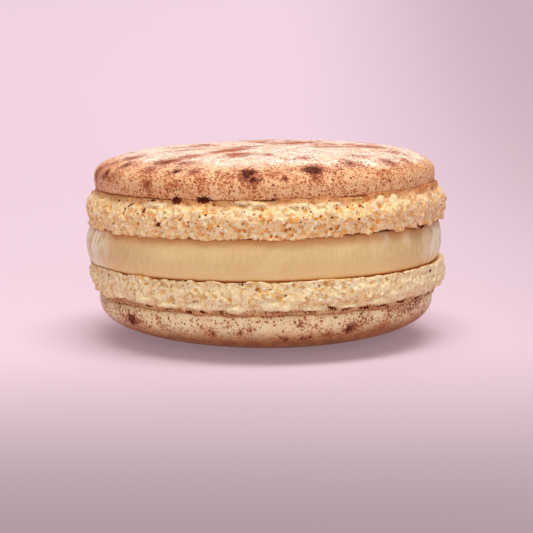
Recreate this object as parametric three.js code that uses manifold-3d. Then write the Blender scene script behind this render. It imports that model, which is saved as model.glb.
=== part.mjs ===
// A french macaron, lying on its domed lower shell: two baked almond shells, each a smooth cap with
// a ragged foot, and a thick disc of caramel buttercream between them.
// Millimetres, +Z up. The origin is on the surface that it rests on, under the middle of the cap.

import * as THREE from "three";
import { mergeVertices } from "three/addons/utils/BufferGeometryUtils.js";
import Module from "manifold-3d";

const wasm = await Module();
wasm.setup();

// Driving dimensions
const CREAM_RADIUS = 22.4; // the filling where it bulges most
const CREAM_BULGE = 0.9; // how far it bulges past its edges at the shells
const CREAM_SHIFT = -0.3; // it sits this far to the side of the middle
const LAYER_GAP = 0.1; // between the filling and each shell
const LEAN = 0.018; // the stack rises to the right by this slope, and its base stays level
const LEAN_FROM = 2.0; // height at which the lean starts
const LEAN_TO = 15.0; // height at which it is complete

// Each shell is measured away from the filling: its foot's face lies on the filling, and its dome
// points up (direction 1) or down (direction -1). footRadius is the widest ring of the foot before
// its crags, neckRough how rough it stays beside the cap, and capShift how far the cap sits to the
// side of the middle.
const UPPER_SHELL = {
  direction: 1,
  faceZ: 15.0,
  footHeight: 4.2,
  footRadius: 22.6,
  neckRadius: 21.2,
  neckRough: 0.7,
  capRadius: 21.5,
  capShift: -0.25,
  lipHeight: 4.35,
  equatorHeight: 5.4,
  domeHeight: 3.7,
  domePower: 3.0,
  flatRadius: 0,
  seed: 11,
};
const LOWER_SHELL = {
  direction: -1,
  faceZ: 9.9,
  footHeight: 3.8,
  footRadius: 22.45,
  neckRadius: 20.95,
  neckRough: 0.9,
  capRadius: 21.1,
  capShift: -0.1,
  lipHeight: 4.0,
  equatorHeight: 4.5,
  domeHeight: 5.4,
  domePower: 2.5,
  flatRadius: 7.5,
  seed: 23,
};

// Crags of the feet
const RUFFLE_SIZE = 3.2; // the wide folds
const RUFFLE_DEPTH = 0.45;
const CRUMB_SIZE = 1.25; // the knobs on them
const CRUMB_DEPTH = 0.45;
const CRUMB_REACH = 0.55; // a knob rises within this distance of its middle, in knob sizes
const FLAKE_SIZE = 2.6; // the larger scraps that stand out beside the cap
const FLAKE_DEPTH = 1.1;
const FLAKE_REACH = 0.45;
const FLAKE_FROM = 0.45; // shares of the foot's height
const FLAKE_FULL = 0.75;
const BAND_RADIUS = 20.3; // the crags stand out from a circle of this radius, inside the foot
const CRAG_START = 20.7; // no crags inside this radius, where the filling lies
const CRAG_FULL = 21.8;
const HANG = 0.25; // crumbs reach this far past the foot's face, outside the filling
const HANG_FROM = 22.0;
const HANG_FULL = 22.5;
const NECK_FROM = 0.8; // the foot's roughness changes above this share of its height
const NECK_FULL = 0.9;
const EDGE_SIZE = 2.2; // the foot's height wanders round its rim
const EDGE_DEPTH = 0.1; // by this share of it

// Sections, from inside to outside: how far inside footRadius and at what share of the foot's height,
// then how the foot narrows to its neck, and how the lip rounds under the cap's edge: how far inside
// capRadius and above the lip
const FOOT_SECTION = [
  [2.8, 0],
  [1.5, 0],
  [0.75, 0.007],
  [0.4, 0.07],
  [0.2, 0.2],
  [0.05, 0.32],
  [0, 0.44],
  [0, 0.56],
  [0.25, 0.67],
  [0.65, 0.78],
  [1.0, 0.88],
];
const NECK_FLARE = 0.3;
const NECK_START = 1.045;
const NECK_TUCK = 0.4;
const NECK_END = 1.1;
const CORE_INSET = 1.5; // the cap's core inside the foot
const LIP_SECTION = [
  [0.6, 0],
  [0.3, 0.05],
  [0.05, 0.4],
];

// Fineness
const FOOT_STEPS = 160;
const CAP_STEPS = 60;
const DOME_POINTS = 10;
const CREAM_STEPS = 66;
const CREAM_POINTS = 8;
const WELD = 1e-4; // vertices closer than this are one

// Noise in space: the same lattice of values wherever it is asked, between 0 and 1
function latticeValue(i, j, k, seed) {
  let h = Math.imul(i, 374761393) + Math.imul(j, 668265263) + Math.imul(k, 2147483647);
  h = (h + Math.imul(seed, 1274126177)) | 0;
  h = Math.imul(h ^ (h >>> 13), 1103515245);
  h = Math.imul(h ^ (h >>> 15), 2654435761 | 0);
  return ((h ^ (h >>> 16)) >>> 8) / 16777216;
}

const smooth = (t) => t * t * (3 - 2 * t);
const mix = (a, b, t) => a + (b - a) * t;
const smoothStep = (from, to, x) => smooth(Math.min(1, Math.max(0, (x - from) / (to - from))));

function valueNoise(x, y, z, seed) {
  const [i, j, k] = [x, y, z].map(Math.floor);
  const [u, v, w] = [smooth(x - i), smooth(y - j), smooth(z - k)];
  const corner = (a, b, c) => latticeValue(i + a, j + b, k + c, seed);
  const edge = (b, c) => mix(corner(0, b, c), corner(1, b, c), u);
  return mix(mix(edge(0, 0), edge(1, 0), v), mix(edge(0, 1), edge(1, 1), v), w);
}

// Distance to the nearest of the points scattered one to each cell, in cell sizes
function crumbDistance(x, y, z, seed) {
  const [i, j, k] = [x, y, z].map(Math.floor);
  let nearest = Infinity;
  for (let a = i - 1; a <= i + 1; a++)
    for (let b = j - 1; b <= j + 1; b++)
      for (let c = k - 1; c <= k + 1; c++) {
        const dx = a + latticeValue(a, b, c, seed) - x;
        const dy = b + latticeValue(a, b, c, seed + 1) - y;
        const dz = c + latticeValue(a, b, c, seed + 2) - z;
        nearest = Math.min(nearest, dx * dx + dy * dy + dz * dz);
      }
  return Math.sqrt(nearest);
}

// A revolved profile of [radius, height] points, about the Z axis
function revolve(points, steps) {
  const outline = points.map(([radius, height]) => new THREE.Vector2(radius, height));
  return new THREE.LatheGeometry(outline, steps).rotateX(Math.PI / 2);
}

// Moves every vertex to where place(point) puts it
function reshape(geometry, place) {
  const position = geometry.getAttribute("position");
  const point = new THREE.Vector3();
  for (let n = 0; n < position.count; n++) {
    place(point.fromBufferAttribute(position, n));
    position.setXYZ(n, point.x, point.y, point.z);
  }
  return geometry;
}

// The whole stack leans: what lies above LEAN_FROM rises towards +X
function lean(point) {
  const share = Math.min(1, Math.max(0, (point.z - LEAN_FROM) / (LEAN_TO - LEAN_FROM)));
  point.z += LEAN * share * point.x;
}

function toSolid(geometry) {
  const bare = new THREE.BufferGeometry().setIndex(geometry.index);
  bare.setAttribute("position", geometry.getAttribute("position"));
  const welded = mergeVertices(bare, WELD);
  const made = new wasm.Manifold(
    new wasm.Mesh({
      numProp: 3,
      vertProperties: welded.getAttribute("position").array,
      triVerts: new Uint32Array(welded.index.array),
    }),
  );
  return made;
}

function toGeometry(solid) {
  const mesh = solid.getMesh();
  const geometry = new THREE.BufferGeometry();
  geometry.setAttribute("position", new THREE.BufferAttribute(mesh.vertProperties, mesh.numProp));
  geometry.setIndex(new THREE.BufferAttribute(mesh.triVerts, 1));
  geometry.computeVertexNormals();
  return geometry;
}

// The cap in section, from its middle inside the foot, round the lip, to the top of the dome.
// Heights are measured from the foot's face.
function capOutline(shell) {
  const { capRadius, neckRadius, lipHeight, equatorHeight, domeHeight, domePower } = shell;
  const middle = shell.footHeight / 2;
  const points = [
    [0, middle],
    [neckRadius - CORE_INSET, middle],
    ...LIP_SECTION.map(([inset, rise]) => [capRadius - inset, lipHeight + rise]),
  ];
  const flatShare = shell.flatRadius / capRadius;
  const lastAngle = Math.acos(flatShare ** (domePower / 2));
  const fullRise = Math.sin(lastAngle) ** (2 / domePower);
  for (let n = 0; n <= DOME_POINTS; n++) {
    const angle = (lastAngle * n) / DOME_POINTS;
    const radius = capRadius * Math.cos(angle) ** (2 / domePower);
    const rise = (domeHeight * Math.sin(angle) ** (2 / domePower)) / fullRise;
    points.push([radius, equatorHeight + rise]);
  }
  const top = points[points.length - 1][1];
  points.push([0, top]);
  return points;
}

// The foot in section: flat where the filling lies, then a rounded band, then a slope to the neck
function footOutline(shell) {
  const { footRadius, footHeight, neckRadius } = shell;
  const across = (radius, share) => [radius, footHeight * share];
  return [
    [0, 0],
    ...FOOT_SECTION.map(([inset, share]) => across(footRadius - inset, share)),
    across(neckRadius + NECK_FLARE, NECK_START),
    across(neckRadius - NECK_TUCK, NECK_END),
    across(0, NECK_END),
  ];
}

// Ruffles and crumbs stand out from the foot's core, all round the band that shows
function crag(point, shell) {
  const radius = Math.hypot(point.x, point.y);
  const share = point.z / shell.footHeight;
  const calm = (1 - shell.neckRough) * smoothStep(NECK_FROM, NECK_FULL, share);
  const weight = smoothStep(CRAG_START, CRAG_FULL, radius) * (1 - calm);
  if (weight === 0) return;
  const ruffle = valueNoise(
    point.x / RUFFLE_SIZE,
    point.y / RUFFLE_SIZE,
    point.z / RUFFLE_SIZE,
    shell.seed,
  );
  const crumb = crumbDistance(
    point.x / CRUMB_SIZE,
    point.y / CRUMB_SIZE,
    point.z / CRUMB_SIZE,
    shell.seed + 5,
  );
  const flake = crumbDistance(
    point.x / FLAKE_SIZE,
    point.y / FLAKE_SIZE,
    point.z / FLAKE_SIZE,
    shell.seed + 9,
  );
  const beside = smoothStep(FLAKE_FROM, FLAKE_FULL, share);
  const out =
    RUFFLE_DEPTH * (ruffle - 0.5) +
    CRUMB_DEPTH * (CRUMB_REACH - crumb) +
    FLAKE_DEPTH * beside * Math.max(0, FLAKE_REACH - flake);
  const height = point.z - shell.footHeight / 2;
  const reach = Math.hypot(radius - BAND_RADIUS, height);
  const along = (weight * out * (radius - BAND_RADIUS)) / reach;
  point.x *= 1 + along / radius;
  point.y *= 1 + along / radius;
  const hang = HANG * smoothStep(HANG_FROM, HANG_FULL, radius + along);
  const wander = valueNoise(point.x / EDGE_SIZE, point.y / EDGE_SIZE, 0, shell.seed + 30) - 0.5;
  const risen = (point.z + (weight * out * height) / reach) / (1 + EDGE_DEPTH * wander);
  point.z = Math.max(risen, -hang);
}

function makeShell(shell) {
  const cap = toSolid(revolve(capOutline(shell), CAP_STEPS).translate(shell.capShift, 0, 0));
  const foot = revolve(footOutline(shell), FOOT_STEPS);
  reshape(foot, (point) => crag(point, shell));
  const joined = toGeometry(cap.add(toSolid(foot)));
  const placed = reshape(joined, (point) => {
    point.z = shell.faceZ + shell.direction * point.z;
    lean(point);
  });
  if (shell.direction < 0) flipFaces(placed);
  return placed;
}

// A mirrored geometry has its faces turned round again
function flipFaces(geometry) {
  const index = geometry.index.array;
  for (let n = 0; n < index.length; n += 3) {
    const first = index[n];
    index[n] = index[n + 1];
    index[n + 1] = first;
  }
  geometry.computeVertexNormals();
}

// The filling: a disc of buttercream whose side bulges between the two shells
function makeFilling() {
  const bottom = LOWER_SHELL.faceZ + LAYER_GAP;
  const top = UPPER_SHELL.faceZ - LAYER_GAP;
  const middle = (top + bottom) / 2;
  const half = (top - bottom) / 2;
  const points = [[0, bottom]];
  for (let n = 0; n <= CREAM_POINTS; n++) {
    const angle = (Math.PI * n) / CREAM_POINTS - Math.PI / 2;
    const radius = CREAM_RADIUS - CREAM_BULGE * (1 - Math.cos(angle));
    points.push([radius, middle + half * Math.sin(angle)]);
  }
  points.push([0, top]);
  return reshape(revolve(points, CREAM_STEPS).translate(CREAM_SHIFT, 0, 0), lean);
}

function addPiece(group, name, geometry, color, roughness) {
  const material = new THREE.MeshStandardMaterial({ color, roughness, metalness: 0 });
  const mesh = new THREE.Mesh(geometry, material);
  mesh.name = name;
  group.add(mesh);
}

const macaron = new THREE.Group();
addPiece(macaron, "bottom_shell", makeShell(LOWER_SHELL), 0xc9a07c, 0.85);
addPiece(macaron, "filling", makeFilling(), 0xe0b884, 0.5);
addPiece(macaron, "top_shell", makeShell(UPPER_SHELL), 0xe0ac84, 0.85);

export default macaron;
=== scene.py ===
"""A french macaron: two almond shells with cocoa-dusted caps and open, crumbly feet, and caramel
buttercream between."""

import math

import bpy
import numpy as np
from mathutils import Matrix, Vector


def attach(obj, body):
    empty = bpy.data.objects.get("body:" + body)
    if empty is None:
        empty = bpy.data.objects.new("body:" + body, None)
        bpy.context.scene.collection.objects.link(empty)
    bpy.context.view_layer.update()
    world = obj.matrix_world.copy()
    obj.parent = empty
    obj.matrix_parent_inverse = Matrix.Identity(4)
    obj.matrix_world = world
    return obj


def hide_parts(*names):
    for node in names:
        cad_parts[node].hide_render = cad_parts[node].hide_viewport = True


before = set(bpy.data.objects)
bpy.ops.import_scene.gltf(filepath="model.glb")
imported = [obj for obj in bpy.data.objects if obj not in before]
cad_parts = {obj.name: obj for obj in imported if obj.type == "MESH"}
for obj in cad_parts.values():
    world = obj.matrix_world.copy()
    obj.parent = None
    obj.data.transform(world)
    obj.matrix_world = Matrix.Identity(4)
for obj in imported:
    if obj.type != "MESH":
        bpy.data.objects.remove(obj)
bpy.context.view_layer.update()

MM = 0.001

# Driving dimensions, in millimetres
CREAM_RADIUS = 22.4
CREAM_BULGE = 0.9
CREAM_SHIFT = -0.3
LAYER_GAP = 0.03
LEAN = 0.018
LEAN_FROM = 2.0
LEAN_TO = 15.0

# Each shell is measured away from the filling, and its dome points up (1) or down (-1)
UPPER = {
    "node": "top_shell",
    "direction": 1,
    "face": 15.0,
    "foot_height": 4.2,
    "foot_radius": 22.6,
    "neck_radius": 21.2,
    "neck_rough": 0.7,
    "rim": [(0.5, 0.0), (0.25, 0.15)],
    "grain": 0.28,
    "cap_radius": 21.5,
    "cap_shift": -0.25,
    "lip_height": 4.35,
    "equator_height": 5.4,
    "dome_height": 3.7,
    "dome_power": 3.0,
    "flat_radius": 0.0,
    "seed": 11,
}
LOWER = {
    "node": "bottom_shell",
    "direction": -1,
    "face": 9.9,
    "foot_height": 3.8,
    "foot_radius": 22.45,
    "neck_radius": 20.95,
    "neck_rough": 0.9,
    "rim": [(0.4, 0.0), (0.2, 0.1)],
    "grain": 0.18,
    "cap_radius": 21.1,
    "cap_shift": -0.1,
    "lip_height": 4.0,
    "equator_height": 4.5,
    "dome_height": 5.4,
    "dome_power": 2.5,
    "flat_radius": 7.5,
    "seed": 23,
}

# Crags of the feet
RUFFLE_SIZE = 3.2
RUFFLE_DEPTH = 0.45
KNOB_SIZE = 1.25
KNOB_DEPTH = 0.45
KNOB_REACH = 0.55  # a knob rises within this distance of its middle, in knob sizes
FLAKE_SIZE = 2.6
FLAKE_DEPTH = 1.1
FLAKE_REACH = 0.45
FLAKE_FROM = 0.45  # shares of the foot's height
FLAKE_FULL = 0.75
BAND_RADIUS = 20.3  # the crags stand out from a circle of this radius, inside the foot
CRAG_START = 20.7
CRAG_FULL = 21.8
HANG = 0.25  # crumbs reach this far past the foot's face, outside the filling
HANG_FROM = 21.8
HANG_FULL = 22.1
NECK_FROM = 0.8  # the foot's roughness changes above this share of its height
NECK_FULL = 0.9
CRUMB_SIZE = 0.45  # the finer crumbs on the knobs
CRUMB_DEPTH = 0.34
CRUMB_REACH = 0.55
CRUMB_LEAST = 0.3  # the lowest crumb's share of that depth
GRAIN_SIZE = 0.27
PORE_SIZE = 0.85  # the bubbles that stand open between the crumbs
PORE_SHARE = 0.75
PORE_RADIUS = (0.12, 0.32)
PORE_ROUGH = 0.25  # no pores where the foot is smoother than this
WARP_SIZE = 0.5  # crumbs and pores are bent out of round
WARP_DEPTH = 0.5
EDGE_SIZE = 2.2  # the foot's height wanders round its rim
EDGE_DEPTH = 0.1
RIM_SIZE = 1.1  # crumbs that stand up at the rim, outside the filling
RIM_DEPTH = 1.2
RIM_BARE = 0.45  # none of them where their noise is lower than this
RIM_TO = 0.14  # nor above this share of the foot's height
SCRAP_ROUGH = 0.4  # the scraps are smoother than the crumb round them
SCRAP_FILLET = 0.2
SCRAP_FADE = 0.2  # their paler finish fades out over this distance
GROOVE_SHADE_HEIGHT = (0.2, 0.06)  # painted shade of the groove at the filling, on the foot where it is this near to its face
GROOVE_SHADE_RADIUS = (22.0, 21.6)  # and this far in

# Sections. The foot's band: how far inside foot_radius, and at what share of the foot's height
BAND_SECTION = [(0.2, 0.2), (0.05, 0.32), (0, 0.44), (0, 0.56), (0.25, 0.67), (0.65, 0.78), (1.0, 0.88)]
FACE_INSET = 1.5
NECK_FLARE = 0.3
NECK_START = 1.045
NECK_TUCK = 0.4
NECK_END = 1.1
# How the lip rounds under the cap's edge: how far inside cap_radius, and above lip_height
LIP_SECTION = [(0.03, 0.45), (0.1, 0.2), (0.25, 0.06)]
LIP_INSET = 0.45
# The core under the cap: inside neck_radius, above lip_height, then below it
CORE_INSET = 0.6
CORE_TUCK = 0.1
CORE_DROP = 0.6

# Gentle swells of the baked skin and of the cream: size and depth
SKIN_SWELLS = [(7.0, 0.22), (2.3, 0.1), (0.9, 0.05)]
LIP_WAVE_SIZE = 2.6
LIP_WAVE_DEPTH = 0.12
CREAM_SWELLS = [(6.0, 0.3), (2.0, 0.1)]
KNIFE_SIZE = 0.8
KNIFE_DEPTH = 0.03
KNIFE_STRETCH = 0.3

# Fineness
CELL = 0.165  # spacing of the grid that the open crumb is made on
GRID_INNER = 20.0
GRID_OUTER = 23.8
GRID_UNDER = 0.75  # how far the grid reaches past the foot's face
GRID_OVER = 0.7  # and past its neck
SECTION_INNER = 19.0  # the foot's section runs in to this radius
SECTION_STEPS = 40  # between two of its corners
CORE_RADIUS = GRID_INNER + 0.35  # the cap's core inside the foot
CORE_FACE = 0.02
DOME_POINTS = 200
DOME_STEPS = 400
DOME_RINGS = 72
CREAM_STEPS = 360
CREAM_RINGS = 36
FAR = 9.0  # stands for a distance that is out of reach

# Where cocoa has gathered on each cap: bearing in degrees, distance from the middle over the dome,
# half size across and along that direction in millimetres, and strength
UPPER_SPOTS = [
    (-95.6, 20.4, 1.1, 1.3, 1), (-93.2, 21.4, 0.6, 0.8, 0.85), (-72.6, 20.0, 1.2, 1.25, 1),
    (-73.2, 21.3, 0.8, 0.9, 0.55), (-84.2, 21.4, 0.45, 0.45, 0.75), (-122.2, 20, 0.8, 0.9, 0.8),
    (-115.8, 20.1, 0.6, 0.8, 0.7), (-105.4, 20.2, 0.4, 0.7, 0.6), (-133.2, 20, 1, 1.1, 0.55),
    (-130.2, 22.4, 0.7, 0.8, 0.6), (-110.4, 21.6, 0.9, 0.8, 0.35), (-120, 22.3, 0.7, 0.5, 0.35),
    (-57.4, 18.6, 1.4, 1.2, 0.55), (-40, 19.6, 1.1, 1.3, 0.6), (-47, 21.2, 0.7, 0.5, 0.4),
    (-132.8, 16.9, 1.4, 1.7, 0.8), (-131.6, 13.8, 1.2, 1.8, 0.6), (-122.6, 17.1, 1.1, 1, 0.6),
    (-128, 7.2, 1.3, 3.6, 0.85), (-161.8, 10.1, 1.2, 3, 0.35), (-105.6, 11.2, 1.5, 2, 0.8),
    (-154.6, 2.3, 1, 3, 0.6), (-88.6, 11.8, 0.8, 1.2, 0.75), (43, 5.4, 1.9, 3, 0.7),
    (-16.8, 8.2, 1.4, 2.5, 0.6), (-6, 13.1, 1.8, 2.4, 0.6), (-160.8, 17.2, 1.6, 1.7, 0.6),
    (-149.6, 19.4, 0.9, 1.2, 0.7), (-156, 21.7, 0.9, 0.9, 0.7), (-165.6, 21.6, 1.1, 1.4, 0.6),
    (-161.8, 19.8, 1, 1.2, 0.5), (-73, 15.2, 1.2, 1, 0.5), (-44.8, 15.9, 1.5, 1.4, 0.4),
    (-56.8, 17.1, 0.6, 1, 0.4), (-17, 16.7, 1.4, 1.8, 0.4), (-29.4, 19.4, 0.9, 1.2, 0.4),
    (163.8, 8.9, 1.5, 2.2, 0.4), (75.4, 4.3, 1, 1.8, 0.4), (-87, 20.5, 1.6, 0.9, 0.3),
    (-80.5, 19.8, 1.2, 0.7, 0.32), (-66, 20.3, 1.6, 1, 0.28), (-101.5, 21, 1.3, 1, 0.3),
    (-150, 21.5, 2.4, 1.2, 0.32), (-164, 20.6, 2.2, 1.6, 0.3),
]
LOWER_SPOTS = [
    (-61.2, 21.5, 1.2, 1.1, 0.8), (-57.6, 22.5, 1.2, 0.7, 0.4), (-139.8, 22.0, 1.8, 1.0, 0.8),
    (-84.4, 20.3, 0.8, 0.8, 0.7), (-95.2, 21.9, 0.6, 0.6, 0.5), (-78.8, 22.7, 0.7, 0.5, 0.5),
    (-88.8, 23.7, 0.6, 0.3, 0.3), (-76.8, 20.4, 1.0, 0.7, 0.6), (-68.2, 20.7, 1.1, 0.7, 0.6),
    (-47.2, 20.8, 1.5, 1.5, 0.5), (-98.6, 21.5, 0.7, 0.7, 0.5), (-108.8, 21.3, 0.8, 0.8, 0.5),
    (-126.4, 22.0, 0.6, 0.7, 0.5), (-34.0, 22.8, 1.2, 0.7, 0.45), (-45.6, 22.8, 1.1, 0.6, 0.35),
    (-147.4, 23.0, 1.1, 0.9, 0.4), (-161.4, 23.0, 1.6, 0.9, 0.3), (-27.4, 23.3, 1.2, 0.7, 0.4),
    (-141.4, 20.1, 1.4, 1.4, 0.4), (-102.6, 22.5, 0.5, 0.4, 0.5), (-96.2, 22.8, 0.5, 0.4, 0.4),
    (-24, 21.4, 2.4, 1.4, 0.34), (-38, 23.2, 2.6, 1.0, 0.34),
]
STRAY_SPOTS = 46  # more of them, scattered over the far side of each cap
DOME_REACH = 23  # over the dome from its middle to its edge
SPOT_FALL = 0.9  # how steeply a spot fades
SPOT_WARP_SIZE = 1.3  # spots are bent out of round
SPOT_WARP_DEPTH = 1.1

# Clots and flecks of cocoa on each foot: bearing, height above its face, half length, half breadth,
# tilt in degrees and strength
UPPER_FLECKS = [
    (-119, 4.35, 0.85, 0.5, 0, 1.0), (-110, 4.45, 1.0, 0.5, 0, 1.0), (-88, 4.5, 0.4, 0.18, 0, 0.95),
    (-93, 4.5, 0.25, 0.14, 0, 0.9), (-137.2, 3.5, 0.5, 0.15, 35, 1.0),
    (-139.5, 3.0, 0.22, 0.15, 60, 1.0), (-130.9, 3.03, 0.6, 0.17, -25, 1.0),
    (-128.4, 4.2, 0.8, 0.14, 5, 0.95), (-123.8, 1.55, 0.6, 0.2, 30, 1.0),
    (-123.6, 1.5, 0.6, 0.18, -50, 1.0), (-145, 3.75, 0.25, 0.18, 0, 1.0),
    (-144.6, 1.07, 0.2, 0.18, 0, 0.9), (-173, 2.2, 0.22, 0.25, 0, 0.8), (-171, 2.9, 0.18, 0.22, 0, 0.8),
    (-50, 0.02, 1.9, 0.34, 0, 0.72), (-34, 0.02, 1.6, 0.34, 0, 0.78), (-22, 0.02, 1.2, 0.3, 0, 0.74),
    (-62, 0.02, 1.4, 0.3, 0, 0.66), (-108.2, 2.86, 0.2, 0.14, 0, 0.95),
    (-104.1, 1.6, 0.24, 0.17, -30, 0.95), (-101.4, 2.15, 0.18, 0.14, 0, 0.9),
    (-122.3, 2.97, 0.16, 0.15, 0, 0.95), (-113.6, 2.0, 0.15, 0.15, 0, 0.9),
    (-96.9, 1.85, 0.15, 0.15, 0, 0.9), (-89.6, 2.05, 0.15, 0.15, 0, 0.9),
    (-80.1, 1.95, 0.2, 0.15, 20, 0.95), (-76.8, 3.05, 0.15, 0.15, 0, 0.9),
    (-70.6, 2.35, 0.22, 0.15, -45, 0.95), (-64.4, 3.35, 0.18, 0.16, 0, 0.95),
    (-61.6, 1.9, 0.2, 0.17, 0, 0.95), (-59.2, 3.2, 0.15, 0.15, 0, 0.9),
    (-83.1, 1.2, 0.2, 0.15, 0, 0.95), (-70.9, 0.96, 0.2, 0.15, 0, 0.9), (-116, 2.4, 0.14, 0.14, 0, 0.9),
    (40, 2.6, 0.5, 0.18, 20, 0.95), (85, 1.6, 0.3, 0.2, -30, 0.9), (122, 3.2, 0.5, 0.16, 15, 0.95),
    (163, 2.0, 0.25, 0.2, 0, 0.9), (64, 4.4, 0.8, 0.4, 0, 1.0),
]
LOWER_FLECKS = [
    (-27, 0.5, 0.42, 0.24, 0, 1.0), (-97.3, 0.15, 0.22, 0.18, 0, 1.0), (-69, 3.3, 0.9, 0.35, 10, 0.75),
    (-64, 3.45, 0.9, 0.35, 0, 0.8), (-57, 3.6, 1.3, 0.3, 0, 0.7), (-51, 3.6, 1.3, 0.3, 0, 0.75),
    (-41, 3.55, 1.8, 0.3, 0, 0.75), (-31, 3.6, 1.6, 0.3, 0, 0.75), (-20, 3.7, 2.0, 0.3, 0, 0.75),
    (-110.3, 3.66, 0.8, 0.3, 15, 0.75), (-115, 3.8, 0.9, 0.3, 0, 0.8), (-123, 3.6, 1.1, 0.3, 0, 0.75),
    (-131.5, 3.6, 1.2, 0.25, 0, 0.75), (-44, 0.1, 2.0, 0.12, 0, 0.6), (-77, 3.6, 1.6, 0.25, 0, 0.6),
    (-90, 3.7, 2.2, 0.2, 0, 0.5), (-104, 3.7, 1.8, 0.25, 0, 0.6), (35, 3.6, 1.4, 0.2, 0, 0.8),
    (88, 3.5, 1.0, 0.22, 0, 0.9), (140, 3.6, 1.5, 0.18, 0, 0.8),
]

# Scraps of crumb that stand out from each foot: bearing, height, radius of their middle,
# half width, half height, half depth
UPPER_SCRAPS = [
    (-97, 4.15, 21.6, 1.0, 0.22, 0.5),
    (-92.5, 3.9, 21.7, 0.9, 0.25, 0.5),
    (-80, 3.75, 21.7, 1.2, 0.22, 0.45),
    (-70, 3.7, 21.8, 1.1, 0.22, 0.45),
    (-52, 3.75, 21.7, 0.55, 0.5, 0.5),
    (-46, 3.75, 21.7, 0.5, 0.5, 0.5),
    (-127, 3.7, 21.7, 1.2, 0.2, 0.4),
    (-175, 2.9, 22.1, 0.9, 0.6, 0.5),
    (-3, 2.4, 22.2, 1.2, 0.7, 0.4),
    (25, 3.8, 21.7, 1.3, 0.25, 0.45),
    (62, 3.6, 21.8, 0.9, 0.4, 0.45),
    (97, 3.8, 21.7, 1.5, 0.25, 0.5),
    (141, 3.7, 21.7, 1.0, 0.3, 0.45),
]
LOWER_SCRAPS = [
    (-99.4, 3.2, 22.1, 1.2, 0.5, 0.55),
    (-88.2, 2.75, 22.3, 1.4, 0.6, 0.45),
    (-84.8, 2.95, 22.25, 1.1, 0.4, 0.4),
    (-93.5, 3.3, 21.7, 0.9, 0.3, 0.5),
    (-76, 3.1, 22.0, 1.6, 0.3, 0.45),
    (-53, 3.0, 22.0, 1.4, 0.45, 0.5),
    (-64, 3.15, 21.9, 1.2, 0.3, 0.5),
    (-112, 3.0, 22.0, 1.5, 0.35, 0.45),
    (-122, 3.1, 22.0, 1.6, 0.35, 0.5),
    (-131.6, 2.7, 22.1, 1.5, 0.5, 0.55),
    (-144, 2.7, 22.0, 1.2, 0.4, 0.4),
    (-5, 1.3, 22.2, 1.0, 0.9, 0.45),
    (-6, 3.0, 21.9, 1.4, 0.5, 0.4),
    (-172, 1.2, 22.1, 1.0, 0.7, 0.4),
    (31, 2.9, 22.0, 1.5, 0.4, 0.5),
    (74, 2.8, 22.0, 1.2, 0.5, 0.5),
    (118, 2.9, 22.0, 1.7, 0.35, 0.5),
    (152, 2.7, 22.1, 1.2, 0.5, 0.45),
]


# Noise in space, the same wherever it is asked, between 0 and 1
def lattice_value(i, j, k, seed):
    h = i * np.uint32(374761393) + j * np.uint32(668265263) + k * np.uint32(2147483647)
    h = h + np.uint32(seed * 1274126177 & 0xFFFFFFFF)
    h = (h ^ (h >> np.uint32(13))) * np.uint32(1103515245)
    h = (h ^ (h >> np.uint32(15))) * np.uint32(2654435761)
    return ((h ^ (h >> np.uint32(16))) >> np.uint32(8)) / 16777216.0


def smooth(t):
    return t * t * (3 - 2 * t)


def smooth_step(low, high, x):
    return smooth(np.clip((x - low) / (high - low), 0, 1))


def cell_of(values):
    return np.floor(values).astype(np.int64)


def value_noise(x, y, z, size, seed):
    """Smooth noise whose swells are about size wide."""
    place = [v / size for v in (x, y, z)]
    cells = [cell_of(v) for v in place]
    u, v, w = (smooth(a - b) for a, b in zip(place, cells))

    def edge(b, c):
        ends = []
        for a in (0, 1):
            corner = (n.astype(np.uint32) for n in (cells[0] + a, cells[1] + b, cells[2] + c))
            ends.append(lattice_value(*corner, seed))
        low, high = ends
        return low + (high - low) * u

    def face(c):
        low = edge(0, c)
        return low + (edge(1, c) - low) * v

    low = face(0)
    return low + (face(1) - low) * w


def swells(x, y, z, layers, seed):
    """The sum of a few layers of noise, each a size and a depth."""
    return sum(depth * (value_noise(x, y, z, size, seed + n) - 0.5) for n, (size, depth) in enumerate(layers))


def nearest_point(x, y, z, size, seed):
    """Distance to the nearest of the points scattered one to each cell of that size, in cells, and a
    random value kept by that point."""
    place = [v / size for v in (x, y, z)]
    cells = [cell_of(v) for v in place]
    nearest = np.full(x.shape, FAR)
    kept = np.zeros(x.shape)
    for a in (-1, 0, 1):
        for b in (-1, 0, 1):
            for c in (-1, 0, 1):
                home = (cells[0] + a, cells[1] + b, cells[2] + c)
                key = [n.astype(np.uint32) for n in home]
                away = [n + lattice_value(*key, seed + m) - p for m, (n, p) in enumerate(zip(home, place))]
                gap = sum(step**2 for step in away)
                closer = gap < nearest
                nearest = np.where(closer, gap, nearest)
                kept = np.where(closer, lattice_value(*key, seed + 3), kept)
    return np.sqrt(nearest), kept


# The open crumb of a foot, as a field that is negative inside it
def band_section(shell):
    """The foot's plain section as points, and the direction of each from the middle of the band."""
    wide, high, neck = shell["foot_radius"], shell["foot_height"], shell["neck_radius"]
    corners = [
        (SECTION_INNER, 0),
        (wide - FACE_INSET, 0),
        *((wide - inset, height) for inset, height in shell["rim"]),
        *((wide - inset, share * high) for inset, share in BAND_SECTION),
        (neck + NECK_FLARE, NECK_START * high),
        (neck - NECK_TUCK, NECK_END * high),
        (SECTION_INNER, NECK_END * high),
    ]
    steps = np.linspace(0, len(corners) - 1, SECTION_STEPS * len(corners))
    points = [np.interp(steps, np.arange(len(corners)), [corner[n] for corner in corners]) for n in (0, 1)]
    return np.arctan2(points[1] - high / 2, points[0] - BAND_RADIUS), points[0], points[1]


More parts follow.
